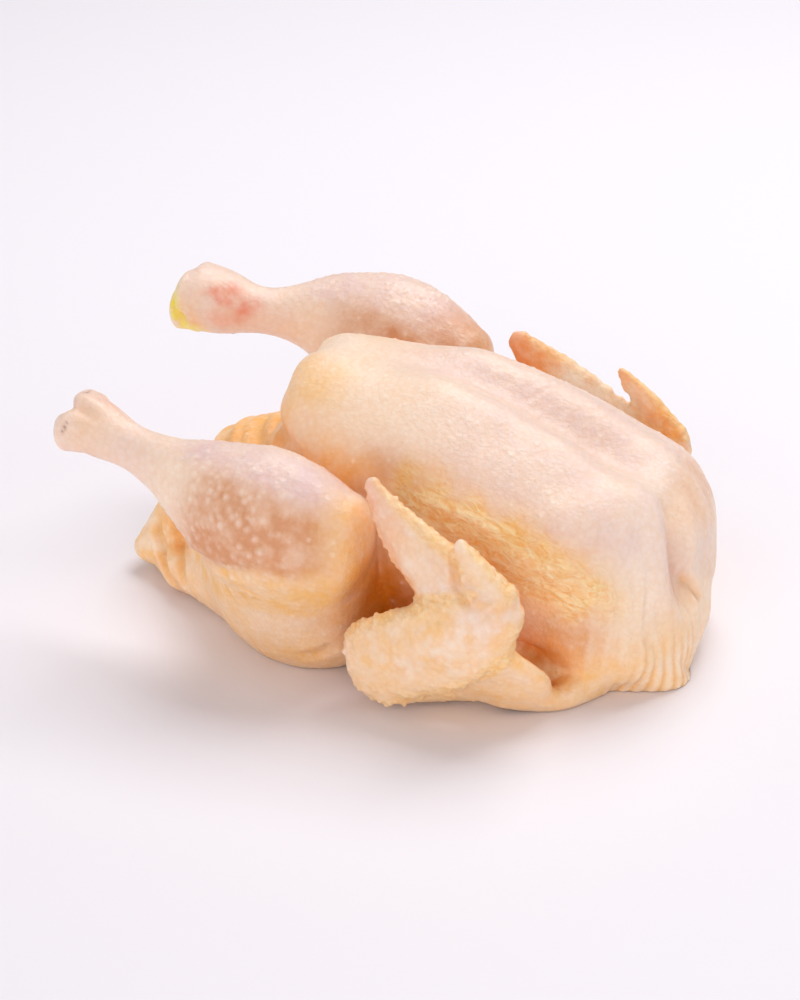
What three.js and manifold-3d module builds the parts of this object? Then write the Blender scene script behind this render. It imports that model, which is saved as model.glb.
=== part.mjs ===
// A whole raw chicken, plucked and drawn, lying on its back with the breast up.
// Millimetres, +Z up. +X points to the neck end, and the bird's left side is at -Y.
// Every form is a row of sections carried along a line. The forms are joined into one
// solid, because skin and flesh run through the bird without a break. They are drawn at
// one size, and the whole is then brought to the real bird's length.
import * as THREE from "three";
import { LoftGeometry } from "three/addons/geometries/LoftGeometry.js";
import { mergeVertices } from "three/addons/utils/BufferGeometryUtils.js";
import Module from "manifold-3d";

const wasm = await Module();
wasm.setup();

// From the hocks to the neck skin.
const realLength = 254;

const left = -1;
const right = 1;
const capRings = 3;
const capTurn = 0.9 * (Math.PI / 2);

// Breast: the plump double lobe on top, from the blunt rear end to the neck. `square` above
// two makes a section fuller than an ellipse.
const breast = {
  across: [0, 1, 0],
  rings: 20,
  sides: 30,
  startCap: 8,
  endCap: 13,
  square: 2.3,
  groove: 11,
  grooveWidth: 15,
  stations: [
    { at: [-36, 0, 96], wide: 33, deep: 28 },
    { at: [-21, 0, 85], wide: 46, deep: 43 },
    { at: [4, 0, 69], wide: 58, deep: 58 },
    { at: [38, 0, 57], wide: 67, deep: 60 },
    { at: [72, 0, 50], wide: 68, deep: 54 },
    { at: [100, 0, 45], wide: 61, deep: 47 },
    { at: [117, 0, 41], wide: 51, deep: 41 },
    { at: [127, -1, 38], wide: 42, deep: 33 },
  ],
};

// Back and belly: the lower trunk, which narrows to the tail.
const trunk = {
  across: [0, 1, 0],
  rings: 18,
  sides: 20,
  startCap: 8,
  endCap: 6,
  stations: [
    { at: [116, 0, 20], wide: 40, deep: 22 },
    { at: [74, 0, 32], wide: 52, deep: 36 },
    { at: [24, 0, 38], wide: 56, deep: 41 },
    { at: [-14, 0, 41], wide: 54, deep: 46 },
    { at: [-42, 0, 42], wide: 46, deep: 46 },
    { at: [-64, 0, 36], wide: 36, deep: 42 },
    { at: [-84, 0, 27], wide: 26, deep: 32 },
    { at: [-100, -2, 19], wide: 16, deep: 18 },
    { at: [-113, -4, 10], wide: 12, deep: 9.5 },
  ],
};

// The legs are a near pair, not a mirrored one: `far` moves a station of the right leg.
const thigh = {
  across: [0, 1, 0],
  rings: 8,
  sides: 18,
  startCap: 18,
  endCap: 14,
  stations: [
    { at: [-62, 25, 27], wide: 19, deep: 28 },
    { at: [-40, 43, 31], wide: 30, deep: 36 },
    { at: [-16, 58, 35], wide: 35, deep: 41, far: [-3, 3, 6] },
    { at: [6, 63, 40], wide: 28, deep: 37, far: [-6, 6, 10] },
  ],
};

const drumstick = {
  across: [0, 1, 0],
  rings: 17,
  sides: 16,
  startCap: 14,
  endCap: 7,
  stations: [
    { at: [10, 80, 62], wide: 22, deep: 24, far: [-12, 7, 10] },
    { at: [-10, 82, 66], wide: 27, deep: 31, far: [-13, 8, 12] },
    { at: [-32, 81, 71], wide: 26, deep: 30, far: [-14, 9, 14] },
    { at: [-52, 79, 79], wide: 19, deep: 22, far: [-13, 8, 13] },
    { at: [-70, 77, 85], wide: 12, deep: 13, far: [-10, 4, 11] },
    { at: [-88, 74, 90], wide: 9, deep: 9.5, far: [-7, 1, 8] },
    { at: [-103, 72, 95], wide: 12, deep: 11.5, far: [-6, 0, 5] },
    { at: [-113, 70, 98], wide: 13, deep: 12, far: [-9, 0, 3] },
  ],
};

// The two round knuckles of the hock.
const knuckles = {
  radius: 8,
  sides: 10,
  rings: 8,
  stations: [
    { at: [-118, 75, 93], far: [-8, 0, 0] },
    { at: [-114, 64, 102], far: [-8, 0, 4] },
  ],
};

const upperWing = {
  across: [0, 1, 0],
  rings: 5,
  sides: 14,
  startCap: 12,
  endCap: 12,
  stations: [
    { at: [98, 50, 14], wide: 20, deep: 18 },
    { at: [74, 74, 14], wide: 17, deep: 15 },
    { at: [40, 93, 16], wide: 14, deep: 14 },
  ],
};

const foreWing = {
  across: [0, 0, 1],
  rings: 8,
  sides: 16,
  startCap: 12,
  endCap: 10,
  stations: [
    { at: [34, 98, 21], wide: 17, deep: 11 },
    { at: [56, 102, 33], wide: 20, deep: 11 },
    { at: [78, 102, 46], wide: 19, deep: 11 },
    { at: [90, 100, 57], wide: 14, deep: 10 },
  ],
};

// Web of skin from the wrist down to the shoulder.
const web = {
  across: [0, 0, 1],
  rings: 5,
  sides: 12,
  startCap: 5,
  endCap: 5,
  stations: [
    { at: [84, 92, 34], wide: 18, deep: 8 },
    { at: [94, 74, 24], wide: 18, deep: 9 },
    { at: [100, 54, 18], wide: 18, deep: 10 },
  ],
};

const wingTip = {
  across: [0, 0, 1],
  rings: 8,
  sides: 12,
  startCap: 6,
  endCap: 5,
  stations: [
    { at: [88, 100, 56], wide: 12, deep: 8 },
    { at: [66, 98, 68], wide: 13, deep: 7 },
    { at: [44, 92, 83], wide: 9, deep: 5.5 },
    { at: [28, 87, 97], wide: 4.5, deep: 3.5 },
  ],
};

const thumb = {
  across: [0, 0, 1],
  rings: 4,
  sides: 8,
  startCap: 3,
  endCap: 3,
  stations: [
    { at: [92, 101, 64], wide: 9, deep: 7 },
    { at: [82, 101, 76], wide: 6, deep: 5 },
    { at: [75, 100, 83], wide: 2.6, deep: 2.6 },
  ],
};

// Neck skin: a gathered roll that lies round the front on the table, with upright ridges.
const neckRoll = {
  across: [0, 0, 1],
  rings: 52,
  sides: 10,
  startCap: 8,
  endCap: 8,
  ridges: 13,
  ridgeDepth: 0.08,
  stations: [
    { at: [94, -52, 14], wide: 20, deep: 13 },
    { at: [118, -44, 16], wide: 25, deep: 14 },
    { at: [132, -25, 17], wide: 27, deep: 14 },
    { at: [132, 2, 17], wide: 27, deep: 14 },
    { at: [117, 32, 16], wide: 25, deep: 14 },
    { at: [94, 50, 14], wide: 20, deep: 13 },
  ],
};

// A curve through one value triple of each station.
function curveOf(stations, pick) {
  return new THREE.CatmullRomCurve3(stations.map((s) => new THREE.Vector3(...pick(s))));
}

function placeOf({ at, far = [0, 0, 0] }, side) {
  return side === left ? at : at.map((value, i) => value + far[i]);
}

// One section: a ring of points round `middle`, across `w` and up `d`, shaped by `shape`.
function section(middle, w, d, wide, deep, sides, shape) {
  const ring = [];
  for (let j = 0; j < sides; j++) {
    const turn = (2 * Math.PI * j) / sides;
    const [a, b] = shape(Math.cos(turn) * wide, Math.sin(turn) * deep, turn);
    ring.push(middle.clone().addScaledVector(w, a).addScaledVector(d, b));
  }
  return ring;
}

// The closed skin of one form. `shape(a, b, turn, along)` may move a point within its section.
function form(f, side = right, shape = (a, b) => [a, b]) {
  const line = curveOf(f.stations, (s) => placeOf(s, side));
  const size = curveOf(f.stations, (s) => [s.wide, s.deep, 0]);
  const across = new THREE.Vector3(...f.across);
  const sections = [];
  const add = (t, out, shrink) => {
    const tangent = line.getTangent(t);
    const w = across.clone().addScaledVector(tangent, -across.dot(tangent)).normalize();
    const d = new THREE.Vector3().crossVectors(tangent, w);
    const middle = line.getPoint(t).addScaledVector(tangent, out);
    const { x: wide, y: deep } = size.getPoint(t);
    const ring = section(middle, w, d, wide * shrink, deep * shrink, f.sides, (a, b, turn) =>
      shape(a, b, turn, t, shrink),
    );
    sections.push(ring);
  };
  for (let k = capRings; k > 0; k--) {
    const turn = (capTurn * k) / capRings;
    add(0, -f.startCap * Math.sin(turn), Math.cos(turn));
  }
  for (let i = 0; i <= f.rings; i++) add(i / f.rings, 0, 1);
  for (let k = 1; k <= capRings; k++) {
    const turn = (capTurn * k) / capRings;
    add(1, f.endCap * Math.sin(turn), Math.cos(turn));
  }
  if (side === left) {
    for (const ring of sections) {
      for (const p of ring) p.y = -p.y;
      ring.reverse();
    }
  }
  return solidOf(new LoftGeometry(sections, { capStart: true, capEnd: true }));
}

// A closed geometry as a solid that can be joined and cut.
function solidOf(geometry) {
  const bare = new THREE.BufferGeometry()
    .setAttribute("position", geometry.getAttribute("position"))
    .setIndex(geometry.getIndex());
  const merged = mergeVertices(bare, 1e-4);
  return new wasm.Manifold(
    new wasm.Mesh({
      numProp: 3,
      vertProperties: merged.attributes.position.array,
      triVerts: new Uint32Array(merged.index.array),
    }),
  );
}

function geometryOf(solid) {
  const { vertProperties, triVerts } = solid.getMesh();
  const geometry = new THREE.BufferGeometry()
    .setAttribute("position", new THREE.BufferAttribute(vertProperties, 3))
    .setIndex(new THREE.BufferAttribute(triVerts, 1));
  geometry.computeVertexNormals();
  return geometry;
}

// The keel runs along the breast as a valley between its two lobes, deepest at the neck.
function breastShape(a, b, turn, along, shrink) {
  const fuller = (x, part) => (part === 0 ? 0 : x * Math.abs(part) ** (2 / breast.square - 1));
  const [y, z] = [fuller(a, Math.cos(turn)), fuller(b, Math.sin(turn))];
  if (z <= 0) return [y, z];
  const valley = breast.groove * Math.exp(-((y / breast.grooveWidth) ** 2));
  return [y, z - valley * shrink * along ** 1.4];
}

function neckShape(a, b, turn, along) {
  const ridge = 1 + neckRoll.ridgeDepth * Math.cos(2 * Math.PI * neckRoll.ridges * along);
  return [a, b * ridge];
}

function knuckle(station, side) {
  const [x, y, z] = placeOf(station, side);
  const ball = new THREE.SphereGeometry(knuckles.radius, knuckles.sides, knuckles.rings);
  return solidOf(ball.translate(x, side * y, z));
}

const forms = [form(breast, right, breastShape), form(trunk), form(neckRoll, right, neckShape)];
for (const side of [left, right]) {
  for (const limb of [thigh, drumstick, upperWing, foreWing, web, wingTip, thumb]) {
    forms.push(form(limb, side));
  }
  for (const station of knuckles.stations) forms.push(knuckle(station, side));
}
let whole = forms[0];
for (const one of forms.slice(1)) whole = whole.add(one);

// The weight presses the underside flat on the table.
const table = solidOf(new THREE.BoxGeometry(600, 600, 100).translate(0, 0, -50));
whole = whole.subtract(table);

// The middle of the footprint becomes the origin.
const { min, max } = whole.boundingBox();
whole = whole.translate([-(min[0] + max[0]) / 2, -(min[1] + max[1]) / 2, 0]);
const scale = realLength / (max[0] - min[0]);
whole = whole.scale([scale, scale, scale]);

const skin = new THREE.MeshStandardMaterial({ color: 0xf2d3b0, roughness: 0.45, metalness: 0 });
const mesh = new THREE.Mesh(geometryOf(whole), skin);
mesh.name = "chicken";

const chicken = new THREE.Group();
chicken.add(mesh);

export default chicken;
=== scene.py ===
# A whole raw chicken, plucked and drawn, lying on its back on a pale table.
from math import cos, pi, radians, sin

import bpy
import numpy as np
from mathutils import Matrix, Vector


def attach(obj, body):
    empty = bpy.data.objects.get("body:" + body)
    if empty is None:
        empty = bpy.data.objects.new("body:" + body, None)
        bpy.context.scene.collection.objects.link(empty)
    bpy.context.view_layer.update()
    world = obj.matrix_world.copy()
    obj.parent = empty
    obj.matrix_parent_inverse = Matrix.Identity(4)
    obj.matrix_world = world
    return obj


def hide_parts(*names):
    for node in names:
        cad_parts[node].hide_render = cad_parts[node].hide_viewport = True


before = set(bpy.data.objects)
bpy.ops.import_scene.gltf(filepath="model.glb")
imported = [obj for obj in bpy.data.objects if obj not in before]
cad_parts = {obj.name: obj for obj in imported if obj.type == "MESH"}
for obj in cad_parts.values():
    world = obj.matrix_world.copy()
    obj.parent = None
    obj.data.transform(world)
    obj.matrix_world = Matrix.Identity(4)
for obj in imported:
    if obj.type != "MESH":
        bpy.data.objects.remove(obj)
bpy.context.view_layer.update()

# The bird is drawn in its own millimetres and brought to its real length, as the solid is.
bird = {
    "scale": 0.9010945e-3,  # metres for one drawn millimetre
    "shift": (-6.94, -1.868, 0.0),  # to the middle of the footprint
    "voxel": 1.08,  # grid that fuses the forms, drawn mm
    "triangles": 197000,  # left after the flat stretches are thinned
    "seed": 11,
}

left, right = -1, 1


def toFrame(points):
    # drawn millimetres to metres in the frame
    return (np.asarray(points, float) + bird["shift"]) * bird["scale"]


# The camera

view = {
    "azimuth": 22.0,
    "elevation": 25.0,
    "distance": 1600.0,  # drawn mm
    "pixelsPerMm": 2.236,
    "aim": 4.7,  # drawn x of the point that lies at the frame's middle column
    "floorRow": 601.6,  # row of that point on the floor
    "centreRow": 520.0,
    "width": 800,
    "height": 1000,
    "sensor": 36.0,
}


def placeCamera(v):
    a, e = radians(v["azimuth"]), radians(v["elevation"])
    back = np.array([sin(a) * cos(e), -cos(a) * cos(e), sin(e)])
    up = np.array([-sin(a) * sin(e), cos(a) * sin(e), cos(e)])
    lift = (v["floorRow"] - v["centreRow"]) / v["pixelsPerMm"]
    place = toFrame(np.array([v["aim"], 0, 0]) + v["distance"] * back + lift * up)
    camData = bpy.data.cameras.new("photoCamera")
    cam = bpy.data.objects.new("photoCamera", camData)
    bpy.context.collection.objects.link(cam)
    camData.sensor_width = v["sensor"]
    camData.lens = v["pixelsPerMm"] * v["distance"] / v["height"] * v["sensor"]
    camData.shift_y = (v["centreRow"] - v["height"] / 2) / v["height"]
    camData.clip_start, camData.clip_end = 0.05, 30
    cam.location = Vector(place)
    cam.rotation_mode = "QUATERNION"
    cam.rotation_quaternion = (-Vector(back)).to_track_quat("-Z", "Y")
    bpy.context.scene.camera = cam


placeCamera(view)
print("camera placed")

# Small maths on whole arrays


def ramp(x, low, high):
    # 0 below low, 1 above high, 3t² - 2t³ between
    t = np.clip((x - low) / (high - low), 0, 1)
    return t * t * (3 - 2 * t)


def throughPoints(values, at):
    # Catmull-Rom: ½(2b + (c-a)t + (2a-5b+4c-d)t² + (3b-a-3c+d)t³), ends carried straight on
    v = np.asarray(values, float)
    v = np.concatenate([[2 * v[0] - v[1]], v, [2 * v[-1] - v[-2]]])
    i = np.clip(np.floor(at).astype(int), 0, len(v) - 4)
    t = (at - i)[:, None]
    a, b, c, d = v[i], v[i + 1], v[i + 2], v[i + 3]
    square = (2 * a - 5 * b + 4 * c - d) * t**2
    cube = (3 * b - a - 3 * c + d) * t**3
    return 0.5 * (2 * b + (c - a) * t + square + cube)


def unit(v):
    return v / np.maximum(np.linalg.norm(v, axis=-1, keepdims=True), 1e-12)


def fixedRandom(ix, iy, iz, seed):
    # the same fraction 0..1 for the same whole numbers: the fraction left of a large sine
    h = np.sin(ix * 127.1 + iy * 311.7 + iz * 74.7 + seed * 53.9) * 43758.5453
    return h - np.floor(h)


def softNoise(points, cell, seed):
    # value noise -1..1: random corners of a grid of cells, joined by 3t² - 2t³
    q = np.asarray(points) / cell
    base = np.floor(q)
    f = q - base
    f = f * f * (3 - 2 * f)
    total = np.zeros(len(q))
    for dx in (0, 1):
        for dy in (0, 1):
            for dz in (0, 1):
                corner = base + (dx, dy, dz)
                share = np.abs(1 - dx - f[:, 0])
                share = share * np.abs(1 - dy - f[:, 1]) * np.abs(1 - dz - f[:, 2])
                total += share * fixedRandom(corner[:, 0], corner[:, 1], corner[:, 2], seed)
    return 2 * total - 1


def layeredNoise(points, cell, seed, layers=3):
    # each layer half the cell and half the height of the one before
    return sum(softNoise(points, cell / 2**k, seed + k) / 2**k for k in range(layers))


def bumpField(u, v, spacing, seed, jitter=0.35):
    # staggered rows of dots in the plane (u, v): distance to the nearest dot and its own random
    rowHeight = spacing * 0.866
    row0 = np.floor(v / rowHeight)
    nearest = np.full(len(u), 1e9)
    own = np.zeros(len(u))
    for dr in (-1, 0, 1):
        row = row0 + dr
        offset = 0.5 * (row % 2)
        col0 = np.floor(u / spacing - offset)
        for dc in (-1, 0, 1, 2):
            col = col0 + dc
            r1 = fixedRandom(col, row, 0 * col, seed)
            r2 = fixedRandom(col, row, 0 * col, seed + 7)
            cu = (col + offset + jitter * (2 * r1 - 1)) * spacing
            cv = (row + 0.5 + jitter * (2 * r2 - 1)) * rowHeight
            d = np.hypot(u - cu, v - cv)
            closer = d < nearest
            nearest = np.where(closer, d, nearest)
            own = np.where(closer, fixedRandom(col, row, 0 * col, seed + 13), own)
    return nearest, own


# The bird's forms, all in drawn millimetres

# A station is (x, y, z, half width, half depth). far moves the same station of the right side and
# farSize adds to its half sizes.
forms = {
    "breast": {
        "across": (0, 1, 0), "caps": (6, 11), "square": 2.3, "grid": (120, 170),
        "stations": [
            (-39, 0, 87, 34, 30), (-26, 0, 84, 45, 39), (4, 0, 68, 58, 56), (38, 0, 57, 67, 59),
            (72, 0, 50, 68, 54), (100, 0, 45, 61, 47), (117, 0, 41, 52, 42), (127, -1, 38, 43, 34),
        ],
    },
    "trunk": {
        "across": (0, 1, 0), "caps": (8, 6), "grid": (90, 110),
        "stations": [
            (116, 0, 20, 40, 22), (74, 0, 32, 52, 36), (24, 0, 38, 56, 41), (-14, 0, 41, 54, 46),
            (-42, 0, 41, 46, 43), (-64, 0, 34, 36, 37), (-84, 0, 27, 26, 30), (-100, -2, 19, 16, 18),
            (-113, -4, 10, 12, 9.5),
        ],
    },
    "crop": {
        "across": (0, 1, 0), "caps": (12, 12), "square": 2.4, "grid": (60, 120),
        "stations": [(93, -2, 68, 48, 33), (98, -3, 44, 54, 38), (102, -3, 12, 58, 40)],
    },
    "neckSkin": {
        "across": (0, 0, 1), "caps": (8, 8), "grid": (90, 60),
        "stations": [
            (92, -50, 14, 20, 11), (113, -36, 16, 25, 12), (132, -25, 17, 27, 14),
            (130, 2, 17, 26, 13), (114, 32, 16, 25, 14), (92, 50, 14, 20, 13),
        ],
    },
}

pairedForms = {
    "thigh": {
        "across": (0, 1, 0), "caps": (18, 14), "grid": (50, 80),
        "stations": [
            (-62, 25, 27, 19, 28), (-40, 43, 31, 30, 36), (-16, 58, 35, 35, 41), (6, 63, 40, 28, 37),
        ],
        "far": [(0, 0, 0), (0, 0, 0), (-3, 3, 6), (-6, 6, 10)],
    },
    "rump": {
        "across": (0, 1, 0), "caps": (10, 8), "grid": (30, 50),
        "stations": [(-50, 34, 18, 18, 18), (-68, 31, 14, 16, 13), (-84, 24, 11, 12, 10), (-98, 14, 9, 9, 8)],
    },
    "drumstick": {
        "across": (0, 1, 0), "caps": (14, 7), "grid": (90, 80),
        "stations": [
            (10, 80, 64, 22, 25), (-10, 82, 68, 27, 32), (-32, 81, 73, 26, 31), (-52, 79, 80, 19, 22),
            (-70, 77, 85, 12, 13), (-88, 74, 90, 9, 9.5), (-103, 72, 95, 12, 11.5),
            (-113, 70, 98, 13, 12),
        ],
        "far": [
            (-12, 7, 10), (-13, 8, 12), (-14, 9, 14), (-13, 8, 13), (-10, 4, 11), (-7, 1, 8),
            (-6, 0, 5), (-10, 0, 4),
        ],
        "farSize": [0, 0, 0, 0, 0, 0.5, 2.5, 4],
    },
    "lowerKnuckle": {
        "across": (0, 1, 0), "caps": (4, 5), "grid": (12, 30),
        "stations": [(-113, 75, 93, 7, 7), (-119, 75, 93, 8, 8)],
        "far": [(-11, -3, 2), (-14, -4, 3)],
        "farSize": [3, 3],
    },
    "upperKnuckle": {
        "across": (0, 1, 0), "caps": (4, 5), "grid": (12, 30),
        "stations": [(-110, 65, 101, 7, 7), (-115, 64, 102, 8, 7.5)],
        "far": [(-10, 0, 4), (-12, 0, 4)],
        "farSize": [3, 3],
    },
    "upperWing": {
        "across": (0, 1, 0), "caps": (12, 12), "grid": (40, 60),
        "stations": [(93, 50, 9, 16, 10), (73, 69, 13, 16, 13), (40, 90, 16, 14, 13)],
    },
    "foreWing": {
        "across": (0, 0, 1), "caps": (12, 10), "grid": (50, 70),
        "stations": [
            (31, 97, 23, 17, 10), (54, 102, 34, 20, 11), (76, 102, 46, 19, 11), (86, 100, 57, 13, 10),
        ],
        "far": [(0, 0, 0), (2, 0, -1), (6, 0, -6), (10, 1, -10)],
    },
    "web": {
        "across": (0.2, 0.55, 1), "caps": (5, 5), "grid": (30, 50),
        "stations": [
            (80, 93, 24, 20, 6), (92, 84, 14, 16.5, 5.2), (99, 76, 7, 9, 5), (104, 69, 5, 7, 6),
            (109, 59, 6, 8, 8), (113, 48, 7, 9, 9),
        ],
        "far": [(0, 0, 0), (0, 0, 0), (-2, 0, 0), (-5, -1, 0), (-9, -3, 0), (-12, -5, 0)],
    },
    "wingTip": {
        "across": (0, 0, 1), "caps": (6, 5), "grid": (60, 40),
        "stations": [
            (87, 100, 56, 12, 8), (63, 98, 66.5, 16, 7), (41.5, 92, 81.5, 12.5, 5.5),
            (28, 87, 97, 4.5, 3.5),
        ],
        "far": [(12, 1, -10), (6, 2, -11), (5, 3, -8), (-1, 3, -2)],
        "farSize": [0, -1, 2, 1],
    },
    "thumb": {
        "across": (0, 0, 1), "caps": (3, 3), "grid": (30, 30),
        "stations": [(87, 101, 62, 9, 7), (79, 101, 74, 6, 5), (72, 100, 83, 2.8, 2.6)],
        "far": [(10, 0, -8), (5, 0, -4), (1, 0, 0)],
    },
}

keel = {"depth": 11.0, "width": 15.0, "power": 1.4}


def calm(values, rounds):
    # smooths a run of values by quarter, half, quarter, with both ends held
    for _ in range(rounds):
        inner = 0.25 * values[:-2] + 0.5 * values[1:-1] + 0.25 * values[2:]
        values = np.concatenate([values[:1], inner, values[-1:]])
    return values


def sectionsOf(form, side, rings):
    # frames along the form's line: centre, tangent t, across w (square to t), up d = t x w, sizes
    s = np.array(form["stations"], float)
    if side == right and "far" in form:
        s[:, :3] += form["far"]
        s[:, 3:] += np.array(form.get("farSize", 0.0), float).reshape(-1, 1)
    fine = np.linspace(0, len(s) - 1, 161)
    both = calm(throughPoints(s, fine), form.get("calm", 60))
    t = unit(np.gradient(both[:, :3], axis=0))
    pick = np.linspace(0, 160, rings)
    at = [np.interp(pick, np.arange(161), column) for column in np.hstack([both, t]).T]
    line, size, t = np.stack(at[:3], 1), np.stack(at[3:5], 1), unit(np.stack(at[5:], 1))
    across = np.array(form["across"], float)
    w = unit(across - t * (t @ across)[:, None])
    d = np.cross(t, w)
    if side == left:
        flip = np.array([1.0, -1.0, 1.0])
        line, t, w, d = line * flip, t * flip, w * flip, d * flip
    return line, t, w, d, size, pick / 160


def fuller(c, power):
    # superellipse: the sign of c times |c|^(2/power)
    return np.sign(c) * np.abs(c) ** (2 / power)


def carryProfile(form, side, name):
    # ring i, turn j: centre + cos(turn) wide w + sin(turn) deep d, with rounded caps whose rings
    # shrink as cos while they move out as sin
    rings, sides = form["grid"]
    line, t, w, d, size, share = sectionsOf(form, side, rings)
    capTurns = np.linspace(pi / 2, 0, 14)[:-1]
    startCap, endCap = form["caps"]
    out = np.concatenate([-startCap * np.sin(capTurns), np.zeros(rings), endCap * np.sin(capTurns)[::-1]])
    shrink = np.concatenate([np.cos(capTurns), np.ones(rings), np.cos(capTurns)[::-1]])
    pick = np.concatenate([np.zeros(13, int), np.arange(rings), np.full(13, rings - 1)])
    turn = np.linspace(0, 2 * pi, sides, endpoint=False)[None, :]
    power = form.get("square", 2)
    wide = size[pick, 0][:, None] * shrink[:, None]
    deep = size[pick, 1][:, None] * shrink[:, None]
    a, b = fuller(np.cos(turn), power) * wide, fuller(np.sin(turn), power) * deep
    if name == "breast":
        # the keel valley: a bell-shaped groove on the upper half, deeper towards the neck
        bell = keel["depth"] * np.exp(-((a / keel["width"]) ** 2))
        b = np.where(b > 0, b - bell * shrink[:, None] * share[pick][:, None] ** keel["power"], b)
    centre = line[pick] + t[pick] * out[:, None]
    grid = centre[:, None] + a[..., None] * w[pick][:, None] + b[..., None] * d[pick][:, None]
    n = len(pick)
    i, j = np.meshgrid(np.arange(n - 1), np.arange(sides), indexing="ij")
    k = (j + 1) % sides
    quads = np.stack([i * sides + j, i * sides + k, (i + 1) * sides + k, (i + 1) * sides + j], -1)
    quads = quads.reshape(-1, 4)
    if side == right:
        quads = quads[:, ::-1]
    return grid.reshape(-1, 3), quads


everyForm = [(name, form, right) for name, form in forms.items()]
everyForm += [(name, form, side) for name, form in pairedForms.items() for side in (left, right)]


def meshOf(name, points, faces):
    mesh = bpy.data.meshes.new(name)
    mesh.from_pydata(points.tolist(), [], faces.tolist())
    mesh.update()
    return mesh


def fuseForms():
    # all forms in one mesh, fused on a grid of small cubes
    allPoints, allFaces, count = [], [], 0
    for name, form, side in everyForm:
        p, f = carryProfile(form, side, name)
        allPoints.append(p)
        allFaces.append(f + count)
        count += len(p)
    mesh = meshOf("looseForms", np.concatenate(allPoints), np.concatenate(allFaces))
    obj = bpy.data.objects.new("looseForms", mesh)
    bpy.context.collection.objects.link(obj)
    fuse = obj.modifiers.new("fuse", "REMESH")
    fuse.mode = "VOXEL"
    fuse.voxel_size = bird["voxel"]
    graph = bpy.context.evaluated_depsgraph_get()
    fused = bpy.data.meshes.new_from_object(obj.evaluated_get(graph))
    p = np.zeros(len(fused.vertices) * 3)
    fused.vertices.foreach_get("co", p)
    loops = np.zeros(len(fused.loops), int)
    fused.loops.foreach_get("vertex_index", loops)
    assert len(loops) == 4 * len(fused.polygons)
    bpy.data.objects.remove(obj)
    bpy.data.meshes.remove(mesh)
    bpy.data.meshes.remove(fused)
    return p.reshape(-1, 3), loops.reshape(-1, 4)


def edgesOf(quads):
    e = np.concatenate([quads[:, [0, 1]], quads[:, [1, 2]], quads[:, [2, 3]], quads[:, [3, 0]]])
    return np.unique(np.sort(e, axis=1), axis=0)


def neighbourMean(values, edges, count):
    # the mean of the values at each vertex's neighbours
    n = np.bincount(edges.ravel(), minlength=count)
    total = np.stack(
        [
            np.bincount(edges[:, 0], values[edges[:, 1], k], count)
            + np.bincount(edges[:, 1], values[edges[:, 0], k], count)
            for k in range(values.shape[1])
        ],
        axis=1,
    )
    return total / np.maximum(n, 1)[:, None]


def relax(points, edges, rounds, amount):
    # each round: p + amount (mean of neighbours - p)
    amount = np.broadcast_to(np.asarray(amount, float), (len(points),))[:, None]
    for _ in range(rounds):
        points = points + amount * (neighbourMean(points, edges, len(points)) - points)
    return points


def evenOut(points, edges, rounds):
    # smooths without shrinking: a step in of 0.5, then a step out of 0.52
    for _ in range(rounds):
        points = relax(points, edges, 1, 0.5)
        points = relax(points, edges, 1, -0.52)
    return points


def outward(points, quads):
    # vertex normals: the sum over the quads of the cross product of their diagonals
    q = points[quads]
    n = np.cross(q[:, 2] - q[:, 0], q[:, 3] - q[:, 1])
    total = np.zeros_like(points)
    for k in range(3):
        for corner in range(4):
            total[:, k] += np.bincount(quads[:, corner], n[:, k], len(points))
    return unit(total)


def measureForm(points, form, side):
    # where each point lies in the form's own sections: share along, across a, up b (1 is the
    # skin), millimetres along, and how far outside the skin in millimetres
    line, t, w, d, size, share = sectionsOf(form, side, 44)
    steps = np.linalg.norm(np.diff(line, axis=0), axis=1)
    run = np.concatenate([[0], np.cumsum(steps)])
    power = form.get("square", 2)
    reach = size.max() + max(form["caps"]) + 14
    low, high = line.min(0) - reach, line.max(0) + reach
    index = np.flatnonzero(np.all((points > low) & (points < high), axis=1))
    result = np.tile([0.0, 9.0, 9.0, -99.0, 99.0], (len(points), 1))
    for rows in np.array_split(index, max(1, len(index) // 9000)):
        rel = points[rows][:, None] - line[None]
        along = np.einsum("pkc,kc->pk", rel, t)
        a = np.einsum("pkc,kc->pk", rel, w) / size[:, 0]
        b = np.einsum("pkc,kc->pk", rel, d) / size[:, 1]
        i = (a**2 + b**2 + (along / size.mean(1)) ** 2 * 4).argmin(1)
        each = np.arange(len(rows))
        a, b, past = a[each, i], b[each, i], along[each, i]
        cap = np.where(i == 0, form["caps"][0], np.where(i == len(line) - 1, form["caps"][1], 1e9))
        over = np.where(i == 0, np.minimum(past, 0), np.where(i == len(line) - 1, np.maximum(past, 0), 0))
        radial = (np.abs(a) ** power + np.abs(b) ** power + np.abs(over / cap) ** power) ** (1 / power)
        gap = (radial - 1) * size[i].mean(1)
        result[rows] = np.stack([share[i], a, b, run[i] + past, gap], axis=1)
    return result


points, quads = fuseForms()
edges = edgesOf(quads)
print("fused", len(points), "points", 2 * len(quads), "triangles")
points = evenOut(points, edges, 6)

measures = {}
for name, form, side in everyForm:
    measures[name, side] = measureForm(points, form, side)
print("measured the forms")

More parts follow.
